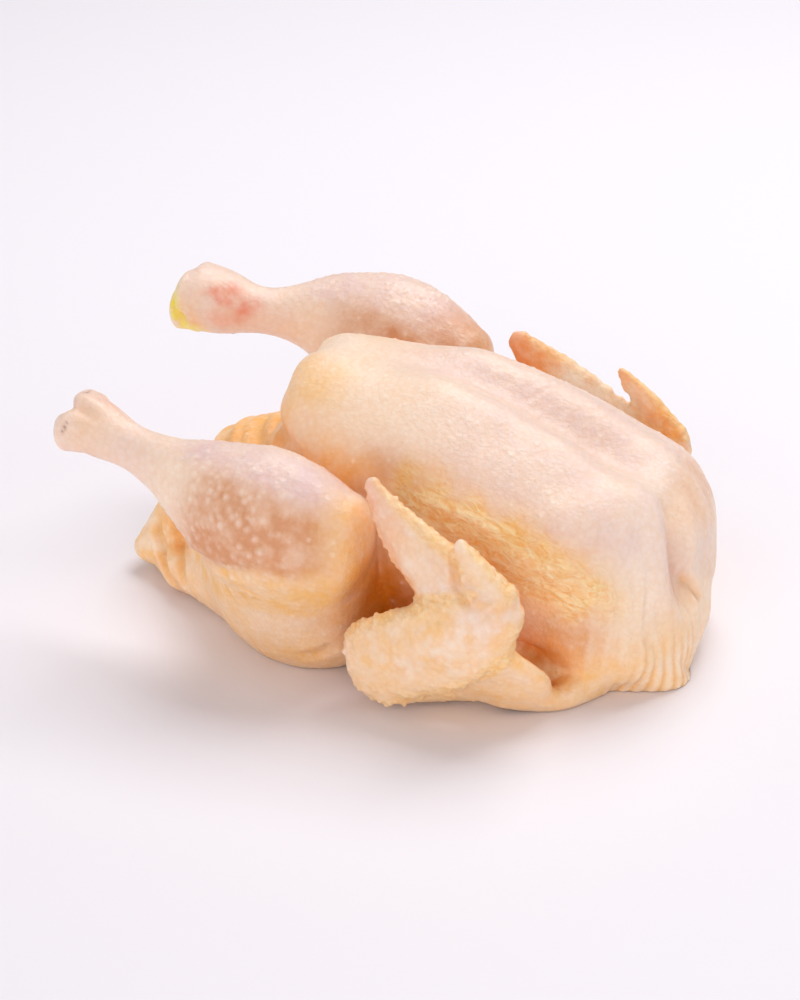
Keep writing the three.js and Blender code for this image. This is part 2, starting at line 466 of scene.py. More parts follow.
# how softly two forms run into each other, drawn mm
blends = [
    ("breast", "trunk", 12), ("breast", "neckSkin", 22), ("trunk", "neckSkin", 10),
    ("breast", "crop", 26), ("crop", "neckSkin", 18), ("crop", "trunk", 14), ("crop", "upperWing", 16),
    ("trunk", "thigh", 18), ("thigh", "drumstick", 20), ("breast", "thigh", 10),
    ("rump", "thigh", 12), ("rump", "trunk", 14),
    ("breast", "drumstick", 5), ("drumstick", "lowerKnuckle", 3), ("drumstick", "upperKnuckle", 3),
    ("upperWing", "foreWing", 12), ("upperWing", "web", 6), ("foreWing", "web", 9),
    ("breast", "web", 8), ("trunk", "web", 8), ("breast", "upperWing", 8), ("crop", "web", 11),
    ("foreWing", "wingTip", 6), ("foreWing", "thumb", 4), ("trunk", "upperWing", 14),
    ("neckSkin", "upperWing", 6), ("neckSkin", "web", 10),
]


def gapOf(name, side):
    key = (name, side) if (name, side) in measures else (name, right)
    return np.maximum(measures[key][:, 4], 0)


def fillCreases(points, quads, edges):
    # between two forms the skin moves out by k/4 (1 - (gap a + gap b)/k)², as a smooth union does
    lift = np.zeros(len(points))
    soft = np.zeros(len(points))
    for one, two, k in blends:
        for side in (left, right):
            both = np.clip(1 - (gapOf(one, side) + gapOf(two, side)) / k, 0, 1)
            lift = np.maximum(lift, both**2 * k / 4)
            soft = np.maximum(soft, both * ramp(k, 2, 14))
    points = relax(points, edges, 4, 0.5 * soft)
    points = points + outward(points, quads) * lift[:, None]
    return relax(points, edges, 42, 0.5 * ramp(soft, 0, 0.8))


points = fillCreases(points, quads, edges)
# the breast runs over into the front without an edge
fallen = ramp(points[:, 0], 86, 106) * ramp(points[:, 2], 22, 44) * (1 - ramp(np.abs(points[:, 1]), 52, 64))
points = relax(points, edges, 170, 0.5 * fallen)
# and its rear end is soft under its own weight
slack = 1 - ramp(points[:, 0], -42, -32)
slack = slack * ramp(points[:, 2], 54, 70) * (1 - ramp(np.abs(points[:, 1]), 40, 52))
points = relax(points, edges, 36, 0.5 * slack)
points = evenOut(points, edges, 6)
print("creases filled")

plain = points.copy()  # the bird before any relief: every pattern is placed on this
px, py, pz = plain.T
normals = outward(points, quads)


def onForm(name, side, reach=4.0):
    # 1 on the form's own skin, 0 from reach mm outside it
    key = (name, side) if (name, side) in measures else (name, right)
    return 1 - ramp(measures[key][:, 4], 0.25 * reach, reach)


def placed(path, side, shift):
    # the path as drawn for the left side, or its mirror image moved by shift for the right
    p = np.array(path, float)
    if side == right:
        p = p * (1, -1, 1) + shift
    return p


def runAlong(path, reach):
    # distance from every point to the smooth line through the path, and mm along that line; the
    # line is first laid on the skin
    line = throughPoints(path, np.linspace(0, len(path) - 1, 48))
    close = np.all((plain > line.min(0) - reach - 12) & (plain < line.max(0) + reach + 12), axis=1)
    index = np.flatnonzero(close)
    distance, along = np.full(len(plain), 1e3), np.zeros(len(plain))
    if not len(index):
        return distance, along, 1.0
    local = plain[index]
    nearest = np.linalg.norm(line[:, None] - local[None], axis=2).argmin(1)
    line = calm(local[nearest], 6)
    steps = np.linalg.norm(np.diff(line, axis=0), axis=1)
    run = np.concatenate([[0], np.cumsum(steps)])
    t = unit(np.gradient(line, axis=0))
    rel = local[:, None] - line[None]
    i = np.linalg.norm(rel, axis=2).argmin(1)
    rows = np.arange(len(local))
    past = np.einsum("pc,pc->p", rel[rows, i], t[i])
    inside = np.clip(past, -steps.max(), steps.max())
    distance[index] = np.linalg.norm(rel[rows, i] - t[i] * inside[:, None], axis=1)
    along[index] = run[i] + inside
    return distance, along, run[-1]


def bell(distance, width):
    return np.exp(-((distance / width) ** 2))


def openEnds(along, length):
    # fades a fold out over the first and last quarter of its run
    return ramp(along, 0, 0.25 * length) * (1 - ramp(along, 0.75 * length, length))


height = np.zeros(len(points))  # relief outwards, drawn mm
tint = {
    name: np.zeros(len(points))
    for name in (
        "muscleAndLilacLight", "fleshAndShade", "fatAndWarmShade", "inner", "redness", "creaseFatAndShade", "paintedShade", "paleSkinAndHighlight", "pit", "rind", "crimp",
    )
}


def addTint(name, amount):
    tint[name] = np.maximum(tint[name], amount)


def dappled(base, by):
    # base + by times the mottling, kept within 0..1
    return np.clip(base + by * mottle, 0, 1)


def patch(centre, radii, power=2.0):
    # soft ball: exp(-|(p - centre) / radii|^power)
    return np.exp(-(np.linalg.norm((plain - centre) / np.array(radii, float), axis=1) ** power))


# Folds: a valley exp(-(d/width)²) deep, with a low lip on both sides at twice its width
single, mirrored, unmoved = (left,), (left, right), (0, 0, 0)
folds = [
    # path on the left side, (depth, width, lip, crease tint: fat and painted shade in the valley), sides,
    # shift on the right side
    # the hollow at the front of the breast, with a thin crease in it and low dips beside it
    ([(124, -4, 78), (132, -16, 66), (139, -22, 52), (142, -20, 40), (142, -17, 26)],
     (4.4, 6.5, 0.5, 0.3), single, unmoved),
    ([(140, -17, 47), (142, -14, 41), (143, -11, 34), (142, -10, 27)],
     (1.2, 1.8, 0.7, 0.7), single, unmoved),
    ([(139, -20, 50), (143, -8, 46), (143, 8, 45), (138, 24, 46)], (1.5, 6.0, 0.4, 0.1), single, unmoved),
    ([(118, 20, 84), (132, 22, 66), (140, 20, 48)], (1.4, 5.0, 0.4, 0.05), single, unmoved),
    # the keel: a long shallow valley between the two lobes of the breast, and on down its rear end
    ([(-6, 2, 121), (26, 1, 113), (60, 0, 103), (86, 0, 93), (104, -2, 84), (120, -6, 72), (130, -14, 60)],
     (4.6, 11.0, 0.3, 0.0), single, unmoved),
    ([(-20, 2, 122), (-34, 2, 118), (-45, 1, 106), (-47, 0, 92), (-46, 0, 80)],
     (2.0, 8.0, 0.3, 0.0), single, unmoved),
    # the rear of the breast
    ([(-50, -8, 92), (-45, -26, 92), (-36, -40, 88), (-20, -52, 82)],
     (2.2, 4.0, 0.4, 0.5), mirrored, unmoved),
    # folds of the belly between the breast and the tail
    ([(-60, 10, 78), (-60, -8, 80), (-54, -24, 80), (-46, -34, 80)], (1.6, 3.0, 0.6, 0.6), single, unmoved),
    ([(-72, 12, 66), (-73, -8, 68), (-66, -22, 66)], (1.3, 2.6, 0.6, 0.45), single, unmoved),
    ([(-84, 10, 52), (-86, -4, 54), (-80, -16, 50)], (1.1, 2.6, 0.6, 0.4), single, unmoved),
    # the closed vent
    ([(-92, 9, 44), (-95, 0, 44), (-92, -9, 43)], (2.6, 2.2, 0.8, 0.7), single, unmoved),
    # the sides of the tail
    ([(-110, -10, 32), (-105, -17, 21), (-95, -26, 12), (-84, -36, 7)],
     (1.9, 2.3, 0.8, 0.6), mirrored, unmoved),
    ([(-100, -13, 38), (-94, -22, 27), (-84, -32, 17), (-74, -42, 10)],
     (1.3, 2.0, 0.8, 0.5), mirrored, unmoved),
    ([(-96, -4, 46), (-88, -16, 41), (-78, -26, 38)], (1.3, 2.2, 0.6, 0.5), mirrored, unmoved),
    # between drumstick and thigh, on the outside
    ([(-60, -84, 50), (-46, -98, 56), (-38, -102, 54), (-24, -107, 57), (-12, -108, 62), (0, -105, 58)],
     (1.1, 3.2, 0.5, 0.2), mirrored, (-4, 4, 5)),
    # low on the thigh
    ([(-10, -86, 10), (1, -86, 12), (10, -84, 20)], (1.0, 2.4, 0.5, 0.3), mirrored, unmoved),
    # thumb against the hand
    ([(69, -104, 82), (71, -106, 75), (74, -108, 67), (81, -110, 59)],
     (1.7, 1.8, 0.4, 0.45), mirrored, unmoved),
    # the forearm's bone shows as a long dip in the skin
    ([(40, -110, 24), (58, -114, 30), (74, -114, 34)], (0.9, 4.0, 0.3, 0.1), mirrored, unmoved),
    # between the two ends of the shank bone, and along its tendon
    ([(-110, -60, 94), (-121, -67, 98), (-120, -73, 104), (-110, -78, 105), (-98, -80, 101)],
     (2.3, 3.0, 0.25, 0.15), mirrored, (-10, 0, 3)),
    ([(-100, -84, 92), (-84, -84, 88), (-68, -88, 84)], (0.8, 3.4, 0.3, 0.0), mirrored, (-8, 2, 7)),
]

for path, (depth, width, lip, creaseFatAndShade), sides, shift in folds:
    for side in sides:
        distance, along, length = runAlong(placed(path, side, shift), 4 * width)
        faded = openEnds(along, length)
        height -= depth * faded * bell(distance, width)
        height += lip * depth * faded * bell(distance - 2 * width, 0.9 * width)
        # the valley tinted warmer and darker: partly fat, partly painted shade
        addTint("creaseFatAndShade", creaseFatAndShade * faded * bell(distance, 1.3 * width))
print("folds laid")

# The whole skin is a little uneven, as flesh is
unevenness = [(1.3, 46, 0), (0.45, 15, 4)]  # mm high, mm between swellings, added to the seed
height += sum(high * layeredNoise(plain, cell, bird["seed"] + k, 2) for high, cell, k in unevenness)

neck = {"spacing": 4.4, "depth": 1.3, "top": 31.0, "fine": 0.42, "axis": 62.0, "radius": 74.0}


def pleatNeck(n):
    # pleats up the neck skin: sin of the arc round the front / spacing, bent by noise, fading upwards
    arc = np.arctan2(py, px - n["axis"]) * n["radius"]
    arc = arc + 1.8 * softNoise(plain, 17, 31) + 0.06 * pz * np.sign(py)
    front = ramp(px, 96, 120) * (1 - ramp(np.abs(py), 46, 58))
    fade = front * (1 - ramp(pz, 14, n["top"]))
    wave = np.abs(np.sin(arc * pi / n["spacing"])) ** 0.7 - 0.6
    strength = 0.7 + 0.5 * softNoise(plain * (0.4, 1, 0.4), 9, 37)
    long = ramp(px, 104, 118) * ramp(pz, 8, 26) * (1 - ramp(pz, 52, 90))
    fine = np.sin(arc * 2 * pi / (1.5 * n["spacing"]) + 1.3 + 1.2 * softNoise(plain, 13, 39))
    # the pleats' valleys warmer and darker, partly fat and partly painted shade; painted highlights on their
    # crests and on the fine ridges
    addTint("creaseFatAndShade", 0.7 * fade * np.clip(-wave, 0, 0.6) / 0.6)
    addTint("paleSkinAndHighlight", 0.5 * fade * np.clip(wave, 0, 0.4) / 0.4)
    addTint("paleSkinAndHighlight", 0.4 * long * np.clip(fine, 0, 1) * strength)
    return n["depth"] * fade * wave * strength + n["fine"] * long * fine * strength


height += pleatNeck(neck)

fatStrip = {
    "path": [
        (22, -62, 86), (39, -64, 81), (53, -66, 77), (67, -66, 72), (84, -65, 65), (102, -62, 56),
        (119, -54, 42),
    ],
    "width": 12.5, "crimp": 2.3, "height": 1.25, "bulge": 0.9,
}


def crimpFat(strip):
    # short crimps along the strip of fat between breast and wing: noise drawn out along the strip
    for side in (left, right):
        distance, along, length = runAlong(placed(strip["path"], side, (0, 0, 0)), 3 * strip["width"])
        there = bell(distance, strip["width"]) * ramp(along, -4, 10)
        there = there * (1 - 0.8 * ramp(along, length - 18, length + 4))
        ragged = np.clip(there * (1.2 + 0.8 * layeredNoise(plain, 9, 43, 2)), 0, 1)
        bent = pz + 2.2 * softNoise(plain, 13, 49) + 0.3 * px
        drawn = np.stack([px * 0.3, py * 0.5, bent], 1)
        crimps = layeredNoise(drawn, strip["crimp"] * 2, 47, 2)
        swell = strip["bulge"] * bell(distance, 8) * openEnds(along, length)
        height[:] += strip["height"] * ragged * crimps + swell
        addTint("fatAndWarmShade", 1.15 * ragged)
        addTint("crimp", ragged)
        addTint("inner", 0.15 * ragged * np.clip(-1.3 * crimps, 0, 1))
        # painted highlights on the crimps' crests
        addTint("paleSkinAndHighlight", ragged * np.clip(0.08 + 0.4 * crimps, 0, 1) * ramp(px, 36, 50))


crimpFat(fatStrip)

goose = {
    "spacing": 4.2, "height": 0.62, "radius": 1.15, "legRadius": 27,  # close set on the drumsticks
    "row": [(-62, -84, 48), (-52, -94, 54), (-42, -101, 56), (-30, -106, 58), (-18, -108, 61)],
    "rowSpacing": 3.3, "rowHeight": 0.45,
    "sparse": 9.0, "sparseHeight": 0.42,  # thinly over the whole bird
}


def gooseBumps(g):
    # domes h exp(-(d/r)²) at staggered dots: close set on the drumstick, in (mm along, mm round)
    for side in (left, right):
        m = measures["drumstick", side]
        roundLeg = np.arctan2(m[:, 1], -m[:, 2]) * g["legRadius"]
        own = onForm("drumstick", side, 5)
        distance, size = bumpField(m[:, 3], roundLeg, g["spacing"], 61 + side, 0.46)
        # fewer towards the knee
        kept = ramp(size, 0.62 - 0.011 * m[:, 3], 0.8 - 0.011 * m[:, 3])
        dome = bell(distance, g["radius"] * (0.75 + 0.5 * size)) * (0.3 + 0.9 * size) * kept
        there = own * ramp(m[:, 3], 4, 20) * (1 - ramp(m[:, 3], 66, 88)) * ramp(roundLeg, -30, -8)
        there = there * np.clip(0.7 + 0.9 * softNoise(plain, 14, 67), 0.1, 1.2)
        height[:] += g["height"] * there * dome
        # their tops paler: partly the follicles' own colour, partly painted highlight
        addTint("paleSkinAndHighlight", 0.32 * there * dome * (0.3 + size))
        # a row of them where the drumstick's skin meets the thigh
        distance, along, length = runAlong(placed(g["row"], side, (-4, 4, 5)), 8)
        beads = bell(distance, 1.3) * openEnds(along, length)
        wave = np.sin(along * 2 * pi / g["rowSpacing"] + 1.5 * softNoise(plain, 7, 69))
        beads = beads * np.clip(0.4 + wave, 0, 1.4)
        height[:] += g["rowHeight"] * beads
        addTint("paleSkinAndHighlight", 0.35 * beads)
    # sparse ones all over
    for axis, seed in ((1, 71), (2, 73)):
        u, v = px + 0.2 * plain[:, axis], plain[:, axis]
        distance, size = bumpField(u, v, g["sparse"], seed, 0.45)
        facing = ramp(np.abs(normals[:, 3 - axis]), 0.45, 0.8)
        dome = bell(distance, 0.9) * (size > 0.45) * facing
        height[:] += g["sparseHeight"] * dome * (0.3 + size)
        addTint("paleSkinAndHighlight", 0.45 * dome * size)


gooseBumps(goose)

wing = {"edge": 3.5, "edgeHeight": 1.25, "grain": 3.0, "grainHeight": 0.42}


def roughenWings(w):
    # feather follicles: a row of beads round the edges of the forearm and hand, and fine grain
    for side in (left, right):
        grain = layeredNoise(plain, w["grain"], 83, 2)
        for name in ("foreWing", "wingTip", "thumb", "upperWing"):
            m = measures[name, side]
            own = onForm(name, side, 3)
            rim = ramp(np.abs(m[:, 1]), 0.55, 0.85)
            if name == "foreWing":
                rim = np.maximum(rim, 1 - ramp(m[:, 3], -6, 6))
            flat = px + 0.3 * py
            distance, size = bumpField(flat, pz, w["edge"], 89 + side, 0.3)
            beads = bell(distance, 1.25) * (0.4 + 0.8 * size)
            share = 0.45 if name in ("thumb", "upperWing") or side == right else 1.0
            height[:] += w["edgeHeight"] * share * own * rim * beads
            height[:] += w["grainHeight"] * own * grain
            addTint("paleSkinAndHighlight", 0.25 * own * rim * beads)


roughenWings(wing)

# Fine wrinkles: middle, radii, direction they run across, spacing, depth, seed
wrinkles = [
    ((62, 14, 104), (36, 18, 16), (0.75, -0.62, 0.2), 5.0, 0.28, 97),  # far lobe of the breast
    ((98, -58, 44), (20, 16, 20), (0.8, 0.1, 0.6), 4.2, 0.25, 101),  # wing roots
    ((98, 58, 44), (20, 16, 20), (0.8, -0.1, 0.6), 4.2, 0.25, 103),
    ((-62, 0, 72), (26, 34, 22), (0.9, 0.25, -0.4), 6.4, 0.3, 107),  # belly
    ((-96, 0, 30), (22, 26, 22), (0.2, 0.9, 0.5), 4.0, 0.3, 109),  # tail
]
for centre, radii, direction, spacing, depth, seed in wrinkles:
    # waves across the direction, bent and broken by noise, inside a soft ball
    u = unit(np.array(direction, float))
    wave = np.sin((plain @ u) * 2 * pi / spacing + 3.6 * softNoise(plain, 14, seed))
    broken = np.clip(softNoise(plain, 11, seed + 3) + 0.45, 0, 1)
    height += depth * patch(centre, radii, 3) * wave * broken
print("relief made")

points = points + normals * height[:, None]
points[:, 2] = np.maximum(points[:, 2], 0)
points = relax(points, edges, 1, 0.25)

# Colours follow the anatomy, with painted light and shade in several tints: each tint is a share 0..1 at
# every point of the skin
mottle = layeredNoise(plain, 24, 113, 3)
smooth = relax(points, edges, 24, 0.5)
hollow = np.einsum("pc,pc->p", smooth - points, normals)


# soft balls of tint on both sides: tint, share, centre with y from the keel outwards, radii, power
tintBalls = [
    # beside the neck, with a little painted shade
    ("muscleAndLilacLight", 0.5, (108, 62, 34), (18, 14, 16), 3), ("fleshAndShade", 0.8, (104, 62, 33), (17, 14, 15), 3),
    ("paintedShade", 0.1, (106, 62, 36), (15, 14, 14), 3), ("inner", 0.5, (100, 66, 52), (15, 12, 10), 3),
    # the pocket between the wrist's skin and the body: its orange skin, darkened with painted shade
    ("inner", 1.0, (95, 66, 18), (15, 13, 12), 3), ("paintedShade", 0.72, (95, 67, 17), (12, 11, 10), 3),
    # the rear of the breast, and its side above the leg, darkened there with painted shade between breast and
    # leg
    ("inner", 0.85, (-44, 36, 84), (14, 14, 14), 2), ("fleshAndShade", 0.75, (16, 58, 84), (24, 14, 18), 3),
    ("fatAndWarmShade", 0.9, (-6, 50, 84), (30, 9, 9), 2), ("inner", 0.5, (-4, 52, 82), (26, 8, 7), 2),
    # the thigh, paler below, with painted shade low on it by the table, and the knee's yellow edge
    ("fatAndWarmShade", 0.9, (-38, 94, 42), (26, 20, 13), 3), ("fatAndWarmShade", 0.8, (8, 96, 50), (16, 14, 14), 3),
    ("fleshAndShade", 0.5, (14, 86, 36), (16, 22, 22), 3), ("paintedShade", 0.12, (0, 80, 10), (40, 22, 12), 3),
    ("fatAndWarmShade", 0.95, (16, 88, 67), (13, 15, 24), 3), ("fatAndWarmShade", 0.85, (24, 76, 50), (12, 14, 16), 3),
    ("inner", 0.5, (21, 84, 66), (10, 13, 20), 3),
    # painted shade: dark brown on the flank behind the wing, light on the breast's side above the leg
    ("paintedShade", 1.0, (20, 62, 34), (30, 22, 27), 3), ("paintedShade", 0.2, (24, 60, 84), (26, 12, 16), 3),
]
for key, share, (x, y, z), radii, power in tintBalls:
    for side in (left, right):
        addTint(key, share * patch((x, side * y, z), radii, power))


def colourBreast():
    on = onForm("breast", right, 6)
    top = ramp(pz, 60, 100)
    for side in (left, right):
        across = side * py
        band = on * ramp(across, 4, 20) * ramp(px, 20, 60) * ramp(pz, 46, 66)
        # the breast's sides lilac: partly muscle, partly painted light
        addTint("muscleAndLilacLight", 0.95 * band * dappled(0.8, 0.5) * (1 - 0.5 * top))
        yellow = on * (1 - ramp(px, -26, 30)) * ramp(across, -14, 20)
        addTint("fatAndWarmShade", 0.6 * yellow * dappled(0.8, 0.7))
    # a lilac band just past the keel: partly muscle, partly painted shade in the keel's valley
    addTint("muscleAndLilacLight", 0.6 * on * bell(py - 8, 18) * ramp(px, -20, 20))


def colourLegs():
    for side in (left, right):
        m = measures["drumstick", side]
        own = onForm("drumstick", side, 8)
        belly = own * ramp(m[:, 3], -14, 8) * (1 - ramp(m[:, 3], 66, 96))
        under = ramp(m[:, 2], -0.9, -0.5)
        # the dark meat ends where the drumstick's skin runs into the thigh's
        seam = 44 + 13 * ramp(px, -66, -26) + (8 if side == right else 0)
        above = ramp(pz - seam - 2.5 * mottle, -4, 4)
        addTint("fatAndWarmShade", 0.75 * belly * (1 - above))
        belly = belly * above
        # the drumstick's underside is leg meat with painted warm shade, its top muscle pink with painted
        # lilac light
        undersideFleshAndShade = belly * under * dappled(0.9, 0.45)
        addTint("fleshAndShade", undersideFleshAndShade * (1 - ramp(m[:, 3], 48, 74)))
        addTint("muscleAndLilacLight", belly * (1 - under) * dappled(0.8, 0.5))
        addTint("muscleAndLilacLight", 0.4 * own * ramp(m[:, 3], 76, 96))
        thigh = onForm("thigh", side, 8) * (1 - 0.85 * belly)
        lower = 0.5 + 0.5 * ramp(pz, 14, 38)
        addTint("fatAndWarmShade", thigh * dappled(0.7, 0.5) * lower)
        # painted shade on the side of thigh and drumstick that faces the gap behind the wing
        gapFacingShade = ramp(normals[:, 0], 0.35, 0.95) * patch((18, side * 80, 38), (16, 20, 24), 3)
        addTint("paintedShade", 0.3 * gapFacingShade)
        shift = np.array((0, 0, 0) if side == left else (-8, 0, 4))
        addTint("fatAndWarmShade", 0.35 * own * patch(np.array((-106, side * 76, 96)) + shift, (10, 12, 10)))
    addTint("fleshAndShade", 0.8 * patch((2, 82, 93), (30, 24, 14), 3))
    # the far shank is bruised red, and its cut end shows yellow rind
    raw = np.clip(0.9 + 1.2 * layeredNoise(plain, 7, 137, 2), 0, 1.2)
    addTint("redness", raw * patch((-107, 60, 108), (9, 9, 5), 3))
    addTint("redness", 0.8 * raw * patch((-97, 62, 103), (10, 9, 4.5), 3))
    addTint("redness", 0.5 * raw * patch((-108, 60, 99), (14, 10, 6), 3))
    addTint("redness", 0.3 * patch((-104, -66, 104), (10, 8, 6)))
    rind = np.clip(0.9 + 1.2 * layeredNoise(plain, 6, 127, 2), 0, 1)
    addTint("rind", rind * patch((-135, 60, 98), (9, 16, 14), 4))
    addTint("rind", rind * patch((-126, 58, 88), (11, 12, 5.5), 3))
    addTint("fatAndWarmShade", 0.6 * rind * patch((-124, 62, 96), (9, 14, 12), 3))
    speckle = np.clip(0.4 + layeredNoise(plain, 5, 127, 2), 0, 1)
    addTint("rind", 0.5 * patch((-124, -80, 92), (3, 7, 4), 3) * speckle)


def colourWings():
    for side in (left, right):
        for name in ("foreWing", "wingTip", "thumb", "web", "upperWing"):
            own = onForm(name, side, 3)
            m = measures[name, side]
            inside = own * ramp(-side * normals[:, 1], 0.0, 0.5)
            addTint("inner", 0.9 * inside)
            patches = layeredNoise(plain, 4.5, 151 + side, 2)
            broad = 0.62 if name == "foreWing" else 0.36
            addTint("fatAndWarmShade", broad * own * ramp(patches, -1.5, 1.0))
            addTint("paleSkinAndHighlight", 0.3 * own * ramp(-patches, 0, 1) * (name != "web"))
            addTint("fatAndWarmShade", 0.75 * own * ramp(np.abs(m[:, 1]), 0.5, 0.95))
            addTint("crimp", 0.5 * own * ramp(np.abs(m[:, 1]), 0.55, 0.9) * (name != "web"))
        # own and inside are now the upper wing's
        addTint("redness", 0.5 * inside)
        # painted light: the upward faces of the far wing are made paler
        addTint("paleSkinAndHighlight", 0.85 * own * ramp(normals[:, 2], 0.45, 0.85) * ramp(side, 0, 1))
        tip = onForm("wingTip", side, 3)
        addTint("redness", 0.42 * tip * (1 - ramp(px, 26, 56)))
        addTint("muscleAndLilacLight", 0.5 * tip * ramp(px, 40, 80))
        hind = tip * ramp(-measures["wingTip", side][:, 1], 0.35, 0.9)
        addTint("inner", 0.55 * hind * (1 - ramp(px, 50, 70)))
        addTint("redness", 0.45 * hind * (1 - ramp(px, 40, 60)))
        wrist = patch((84, side * 104, 62), (12, 12, 16), 3)
        addTint("muscleAndLilacLight", 0.7 * onForm("foreWing", side, 3) * wrist)
    # painted light on the top of the far wing's hand
    for place in ((52, 93, 79), (64, 97, 74), (75, 99, 69)):
        addTint("paleSkinAndHighlight", patch(place, (12, 9, 9), 3))


def colourRear():
    addTint("fatAndWarmShade", 0.9 * patch((-60, 0, 76), (30, 44, 20), 3))
    addTint("crimp", 0.2 * patch((-60, 0, 76), (26, 40, 18), 3))
    addTint("inner", 0.85 * patch((-58, -14, 80), (20, 26, 16), 3) * dappled(0.85, 0.8))
    addTint("inner", 0.6 * patch((-58, 20, 80), (20, 26, 16), 3) * dappled(0.8, 0.8))
    tail = 1 - ramp(px, -92, -66)
    tail = tail * (1 - ramp(np.abs(py), 30, 46)) * (1 - ramp(pz, 44, 74))
    streak = layeredNoise(plain * (0.3, 1, 1), 8, 131, 2)
    addTint("fatAndWarmShade", 0.75 * tail)
    addTint("crimp", 0.15 * tail)
    addTint("inner", tail * np.clip(0.15 + 0.7 * streak, 0, 0.8) * ramp(px, -112, -96))
    addTint("paleSkinAndHighlight", 0.6 * tail * np.clip(0.1 - 1.2 * streak, 0, 1))


def colourFront():
    low = ramp(px, 100, 124) * (1 - ramp(pz, 16, 52))
    addTint("fatAndWarmShade", 0.65 * low * dappled(0.9, 0.6))
    addTint("crimp", 0.1 * low)
    # lilac in the hollow at the front: partly muscle, partly painted shade
    addTint("muscleAndLilacLight", 0.85 * ramp(px, 116, 130) * bell(py + 24, 11) * ramp(pz, 26, 46))
    # painted light: the front made paler where it gets too little light
    addTint("paleSkinAndHighlight", 0.3 * ramp(px, 112, 130) * np.clip(0.6 - mottle, 0, 1) * ramp(pz, 20, 40))
    addTint("paleSkinAndHighlight", 0.45 * ramp(px, 124, 134) * ramp(py, -30, -10) * (1 - ramp(pz, 26, 44)))
    addTint("fatAndWarmShade", 0.3 * ramp(px, 122, 134) * ramp(py, -14, 4) * dappled(0.8, 0.6))
    # yellower towards the table: partly fat, partly painted warm shade
    addTint("fatAndWarmShade", 0.6 * (1 - ramp(pz, 6, 56)))


for paint in (colourBreast, colourLegs, colourWings, colourRear, colourFront):
    paint()
# hollows warmer and darker, partly fat and partly painted shade; rounded places paler as painted highlights
addTint("creaseFatAndShade", np.clip(0.42 * ramp(hollow, 0.25, 1.8), 0, 1))
addTint("paleSkinAndHighlight", 0.45 * ramp(-hollow, 0.35, 1.6))

# small dark pits where feathers stood on the ends of the shanks: middle of each cluster of four
pits = [(-113, -67, 109), (-116, -83, 99), (-121, 80, 101)]
for number, place in enumerate(pits):
    for k in range(4):
        turn, out = 2.4 * k + number, 2.3 * (k > 0)
        spot = np.array(place) + (out * cos(turn) * 0.5, -out * sin(turn), out * cos(turn))
        spot = plain[np.linalg.norm(plain - spot, axis=1).argmin()]
        dot = bell(np.linalg.norm(plain - spot, axis=1), 0.9 - 0.1 * k)
        points = points - normals * (0.45 * dot)[:, None]
        addTint("pit", (0.9 - 0.15 * k) * dot)
print("tinted")

# The skin as an object


def thin(points, quads, tints, triangles):
    # collapses the flattest edges until the number of triangles is left
    mesh = meshOf("denseSkin", points, quads)
    for key, values in tints.items():
        layer = mesh.attributes.new(key, "FLOAT", "POINT")
        layer.data.foreach_set("value", np.clip(values, 0, 1).astype(np.float32))
    obj = bpy.data.objects.new("denseSkin", mesh)
    bpy.context.collection.objects.link(obj)
    cut = obj.modifiers.new("thin", "DECIMATE")
    cut.ratio = min(1.0, triangles / (2 * len(quads)))
    cut.use_collapse_triangulate = True
    graph = bpy.context.evaluated_depsgraph_get()
    result = bpy.data.meshes.new_from_object(obj.evaluated_get(graph))
    bpy.data.objects.remove(obj)
    bpy.data.meshes.remove(mesh)
    return result


skinMesh = thin(toFrame(points), quads, tint, bird["triangles"])
skinMesh.name = "chickenSkin"
skinMesh.polygons.foreach_set("use_smooth", np.ones(len(skinMesh.polygons), bool))
skin = bpy.data.objects.new("chickenSkin", skinMesh)
bpy.context.collection.objects.link(skin)
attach(skin, "root")
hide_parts("chicken")
print("skin", len(skinMesh.vertices), "points", len(skinMesh.polygons), "triangles")

# Materials


def toLinear(hexColour):
    # sRGB hex to linear: c/12.92 below 0.04045, else ((c + 0.055)/1.055)^2.4
    c = np.array([int(hexColour[i : i + 2], 16) / 255 for i in (1, 3, 5)])
    lin = np.where(c < 0.04045, c / 12.92, ((c + 0.055) / 1.055) ** 2.4)
    return (*lin, 1.0)


def addNode(tree, kind, settings=None, inputs=None):
    # a node with its settings, and a link or a value for each named or numbered socket
    node = tree.nodes.new(kind)
    for key, value in (settings or {}).items():
        setattr(node, key, value)
    for key, value in (inputs or {}).items():
        socket = node.inputs[key]
        if isinstance(value, bpy.types.NodeSocket):
            tree.links.new(value, socket)
        else:
            socket.default_value = value
    return node


def newMaterial(name):
    material = bpy.data.materials.new(name)
    material.use_nodes = True
    material.node_tree.nodes.clear()
    return material, material.node_tree


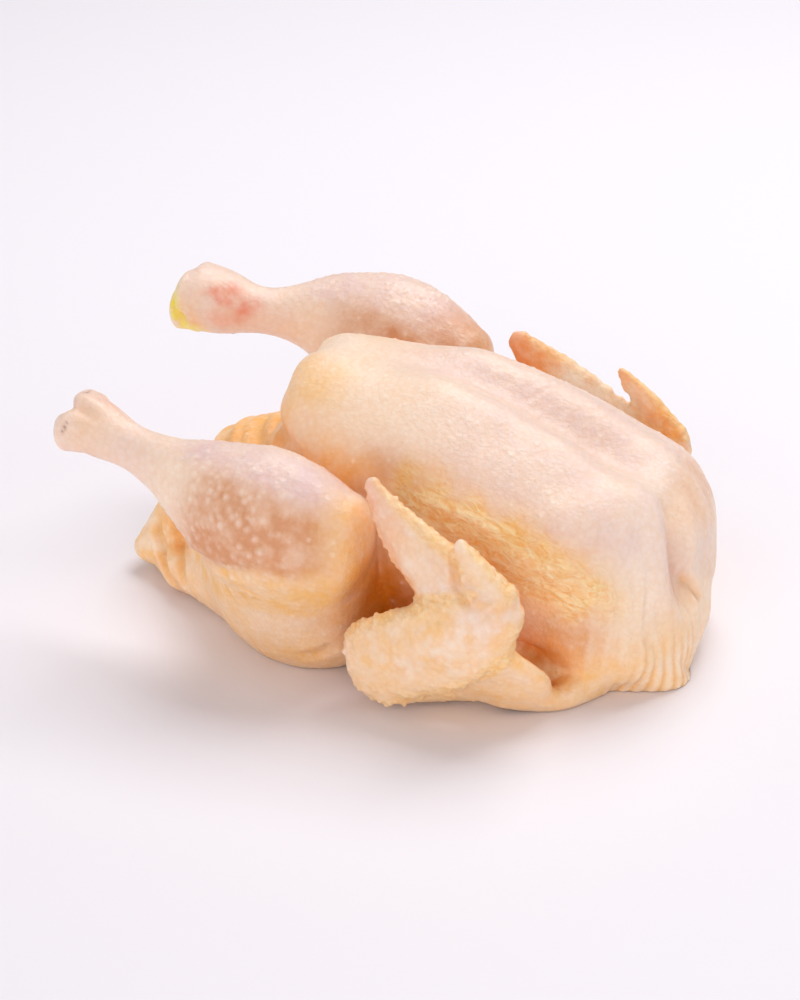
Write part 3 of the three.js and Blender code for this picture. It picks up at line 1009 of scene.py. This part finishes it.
rawSkin = {
    "cream": "#FADFC9",  # thin skin over pale fat
    "tints": [
        # share, colour, how far the mottling breaks it up; later ones lie over earlier ones
        ("muscleAndLilacLight", "#E8C8C4", 0.3),  # pink muscle through thin skin, with painted lilac light and shade on the breast, the drumstick's top and in hollows
        ("fleshAndShade", "#DB9B70", 0.35),  # dark leg meat showing through, with painted warm shade on the leg's underside and between breast and leg
        ("fatAndWarmShade", "#FAC26E", 0.4),  # soft yellow fat under the skin, and painted warm shade low on the bird
        ("inner", "#FDAA55", 0.45),  # inner skin and folds, orange with fat
        ("redness", "#F09A80", 0.5),  # blood under the skin
        ("rind", "#F8E648", 0.3),  # bright yellow rind at the cut shank
        # orange fat gathered in folds and hollows, darkened there with painted shade
        ("creaseFatAndShade", "#E6AA62", 0.2),
        ("paintedShade", "#C87200", 0.1),  # painted shade: dark brown in the gap behind the wing where thigh, wing and body meet, lighter in other recesses
        # pale specks, bumps and lines of the skin, and painted highlights on crests, bump tops, the front and
        # the far wing's top
        ("paleSkinAndHighlight", "#FFF1E2", 0.0),
        ("pit", "#9C8072", 0.0),
    ],
    "mottle": 0.009,  # m between patches
    "grain": 0.0013,  # m between fine pebbles; real pores are near 0.6 mm, drawn coarser to show
    "pores": 0.0023,  # m between the broader pebbles, coarser still
    "lines": 0.2,  # how much colour the lines between pebbles take
    "lineColour": "#F0D2A4",
    "crimps": (0.0028, 2.5, 0.37),  # m between crimps in the fat, their stretch, and their slope
    "crimpFatAndHighlight": ("#F5B662", "#FFE9B6"),  # the fat's orange in the valleys, a painted highlight on the crests
    "crimpShare": 0.7,  # how far the crimps' colours cover the others
    "crimpHeight": 1.1,  # against the pebbles'
    "bump": 0.5,
    "bumpDepth": 0.0008,  # m
    "roughness": (0.34, 0.52),
    "coat": (0.18, 0.26),  # weight and roughness of the wet film
    "ior": 1.4,
    "subsurface": 0.26,
    "radius": (1.0, 0.36, 0.18),
    "depth": 0.0055,  # m that red light travels in the flesh
}


def rawChickenSkin(look):
    # plucked raw poultry skin: thin, moist and translucent over yellow fat and pink muscle. That gives
    # soft edges to shadows, broad weak highlights, pebbled grain and colours that drift in patches
    material, tree = newMaterial("rawChickenSkin")
    place = addNode(tree, "ShaderNodeTexCoord").outputs["Object"]
    mottling = addNode(
        tree, "ShaderNodeTexNoise", None,
        {"Vector": place, "Scale": 1 / look["mottle"], "Detail": 3.0, "Roughness": 0.58},
    ).outputs["Fac"]
    colour = toLinear(look["cream"])
    for share, hexColour, patchy in look["tints"]:
        amount = addNode(tree, "ShaderNodeAttribute", {"attribute_name": share}).outputs["Fac"]
        spread = addNode(
            tree, "ShaderNodeMapRange", None,
            {0: mottling, 1: 0.35, 2: 0.65, 3: 1 - patchy, 4: 1 + 0.5 * patchy},
        ).outputs[0]
        factor = addNode(
            tree, "ShaderNodeMath", {"operation": "MULTIPLY", "use_clamp": True}, {0: amount, 1: spread}
        ).outputs[0]
        colour = addNode(
            tree, "ShaderNodeMix", {"data_type": "RGBA"}, {0: factor, 6: colour, 7: toLinear(hexColour)}
        ).outputs[2]
    grain = addNode(
        tree, "ShaderNodeTexNoise", None,
        {"Vector": place, "Scale": 1 / look["grain"], "Detail": 2.0, "Roughness": 0.6},
    ).outputs["Fac"]
    pores = addNode(
        tree, "ShaderNodeTexVoronoi", {"feature": "F1"},
        {"Vector": place, "Scale": 1 / look["pores"]},
    ).outputs["Distance"]
    # pebbles are a little paler than the lines between them, which show the yellow fat below
    lines = addNode(
        tree, "ShaderNodeMapRange", None, {0: pores, 1: 0.25, 2: 0.8, 3: 0.0, 4: look["lines"]}
    ).outputs[0]
    colour = addNode(
        tree, "ShaderNodeMix", {"data_type": "RGBA", "blend_type": "MULTIPLY"},
        {0: lines, 6: colour, 7: toLinear(look["lineColour"])},
    ).outputs[2]
    relief = addNode(
        tree, "ShaderNodeMath", {"operation": "MULTIPLY_ADD"}, {0: pores, 1: -0.5, 2: grain}
    ).outputs[0]
    # crimped fat: ridges of noise drawn out along the bird, with painted highlights on their crests
    spacing, stretch, slope = look["crimps"]
    drawnOut = addNode(
        tree, "ShaderNodeMapping", {"vector_type": "TEXTURE"},
        {"Vector": place, "Rotation": (0, slope, 0), "Scale": (stretch, 1.3, 1)},
    ).outputs[0]
    crimps = addNode(
        tree, "ShaderNodeTexNoise", None,
        {"Vector": drawnOut, "Scale": 1 / spacing, "Detail": 3.0, "Roughness": 0.6, "Distortion": 1.5},
    ).outputs["Fac"]
    crests = addNode(
        tree, "ShaderNodeMapRange", None, {0: crimps, 1: 0.36, 2: 0.64, 3: 0.0, 4: 1.0}
    ).outputs[0]
    valley, crestHighlight = look["crimpFatAndHighlight"]
    crimped = addNode(
        tree, "ShaderNodeMix", {"data_type": "RGBA"}, {0: crests, 6: toLinear(valley), 7: toLinear(crestHighlight)}
    ).outputs[2]
    amount = addNode(tree, "ShaderNodeAttribute", {"attribute_name": "crimp"}).outputs["Fac"]
    share = addNode(
        tree, "ShaderNodeMath", {"operation": "MULTIPLY"}, {0: amount, 1: look["crimpShare"]}
    ).outputs[0]
    colour = addNode(
        tree, "ShaderNodeMix", {"data_type": "RGBA"}, {0: share, 6: colour, 7: crimped}
    ).outputs[2]
    ridges = addNode(tree, "ShaderNodeMath", {"operation": "MULTIPLY"}, {0: amount, 1: crests}).outputs[0]
    relief = addNode(
        tree, "ShaderNodeMath", {"operation": "MULTIPLY_ADD"}, {0: ridges, 1: look["crimpHeight"], 2: relief}
    ).outputs[0]
    bump = addNode(
        tree, "ShaderNodeBump", None,
        {"Strength": look["bump"], "Distance": look["bumpDepth"], "Height": relief},
    ).outputs[0]
    low, high = look["roughness"]
    coat, coatRoughness = look["coat"]
    roughness = addNode(
        tree, "ShaderNodeMapRange", None, {0: mottling, 1: 0.35, 2: 0.65, 3: low, 4: high}
    ).outputs[0]
    shader = addNode(
        tree, "ShaderNodeBsdfPrincipled", {"subsurface_method": "BURLEY"},
        {
            "Base Color": colour, "Roughness": roughness, "Normal": bump, "IOR": look["ior"],
            "Subsurface Weight": look["subsurface"], "Subsurface Radius": look["radius"],
            "Subsurface Scale": look["depth"], "Coat Weight": coat, "Coat Roughness": coatRoughness,
        },
    )
    addNode(tree, "ShaderNodeOutputMaterial", None, {"Surface": shader.outputs[0]})
    return material


skinMesh.materials.clear()
skinMesh.materials.append(rawChickenSkin(rawSkin))

# Table and light


room = {
    "half": 6.0, "below": 0.0003,  # m: half the table's side, and how far it lies below the bird
    "table": "#F1EDF3", "tableRoughness": 0.6,
    "walls": "#FBF9FC", "wallStrength": 0.42,  # what comes back from a pale room
}


def layTable(r):
    # white laminate: a plain sheet, smooth but not glossy
    size = r["half"]
    corners = np.array([(-size, -size, 0), (size, -size, 0), (size, size, 0), (-size, size, 0)], float)
    mesh = meshOf("table", corners - (0, 0, r["below"]), np.array([[0, 1, 2, 3]]))
    table = bpy.data.objects.new("table", mesh)
    bpy.context.collection.objects.link(table)
    material, tree = newMaterial("whiteLaminateTable")
    shader = addNode(
        tree, "ShaderNodeBsdfPrincipled", None,
        {"Base Color": toLinear(r["table"]), "Roughness": r["tableRoughness"]},
    )
    addNode(tree, "ShaderNodeOutputMaterial", None, {"Surface": shader.outputs[0]})
    mesh.materials.append(material)


lamps = [
    # name, place, aim, size (all m), watts, colour
    ("overhead", (0.1, 0.72, 1.38), (0, 0, 0.03), 1.1, 17.2, "#FFFFFF"),
    ("frontFill", (0.3, -1.6, 0.5), (0, 0, 0.04), 1.3, 11, "#FFFDFA"),
    ("leftFill", (-1.6, -0.5, 0.35), (0, 0, 0.05), 1.1, 5.0, "#FFFDFB"),
    ("rightFill", (1.6, -0.3, 0.35), (0, 0, 0.05), 1.1, 3.5, "#FFFDFA"),
]


def hangLamp(name, place, aim, size, watts, colour):
    data = bpy.data.lights.new(name, "AREA")
    data.shape = "SQUARE"
    data.size = size
    data.energy = watts
    data.color = toLinear(colour)[:3]
    lamp = bpy.data.objects.new(name, data)
    bpy.context.collection.objects.link(lamp)
    lamp.location = place
    lamp.rotation_mode = "QUATERNION"
    lamp.rotation_quaternion = (Vector(aim) - Vector(place)).to_track_quat("-Z", "Y")


def lightRoom(r):
    world = bpy.data.worlds.new("paleRoom")
    bpy.context.scene.world = world
    world.use_nodes = True
    background = world.node_tree.nodes["Background"]
    background.inputs["Color"].default_value = toLinear(r["walls"])
    background.inputs["Strength"].default_value = r["wallStrength"]
    for lamp in lamps:
        hangLamp(*lamp)
    bpy.context.scene.view_settings.view_transform = "Standard"


layTable(room)
lightRoom(room)
print("table and light set")
